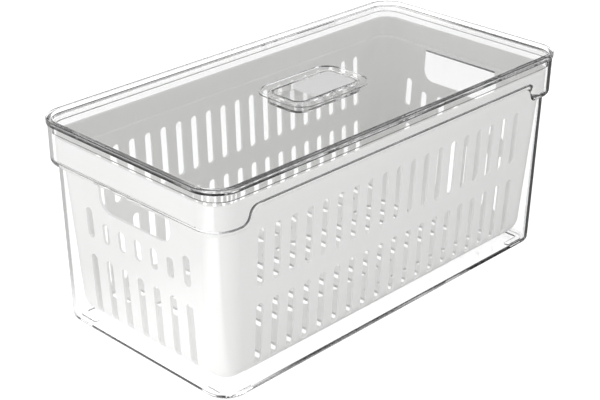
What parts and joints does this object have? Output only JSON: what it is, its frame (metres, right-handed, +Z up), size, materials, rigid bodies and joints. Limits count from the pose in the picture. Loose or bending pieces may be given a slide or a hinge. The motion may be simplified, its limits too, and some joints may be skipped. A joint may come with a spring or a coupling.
{
  "type": "fridge organizer bin",
  "caption": "Clear lidded refrigerator bin with a white slotted drain basket that lifts out and a rocking air vent in the lid.",
  "frame": {"origin": "middle of the footprint, on the surface that the corner feet stand on", "axes": "+X along the length, towards the end of the lid that the vent's seal is on; +Y across the width; +Z up"},
  "size_m": [0.32, 0.1584, 0.1396],
  "materials": {
    "clear_bin": "polished clear styrene moulding",
    "clear_lid": "polished clear styrene moulding",
    "clear_vent": "polished clear styrene moulding",
    "white_basket": "satin white polypropylene moulding",
    "white_seal": "matt white silicone moulding"
  },
  "bodies": {
    "bin": {"outer_bin": "clear_bin"},
    "basket": {"drain_basket": "white_basket"},
    "lid": {"lid": "clear_lid"},
    "vent": {"vent_rocker": "clear_vent", "vent_seal": "white_seal"}
  },
  "joints": [
    {"name": "basket_lift", "type": "slide", "parent": "bin", "child": "basket", "axis": [0, 0, 1], "range_m": [0, 0.135]},
    {"name": "lid_lift", "type": "slide", "parent": "basket", "child": "lid", "axis": [0, 0, 1], "range_m": [0, 0.06]},
    {"name": "vent_tip", "type": "hinge", "parent": "lid", "child": "vent", "pos_m": [0, 0, 0.1315], "axis": [0, -1, 0], "range_deg": [0, 6]}
  ]
}
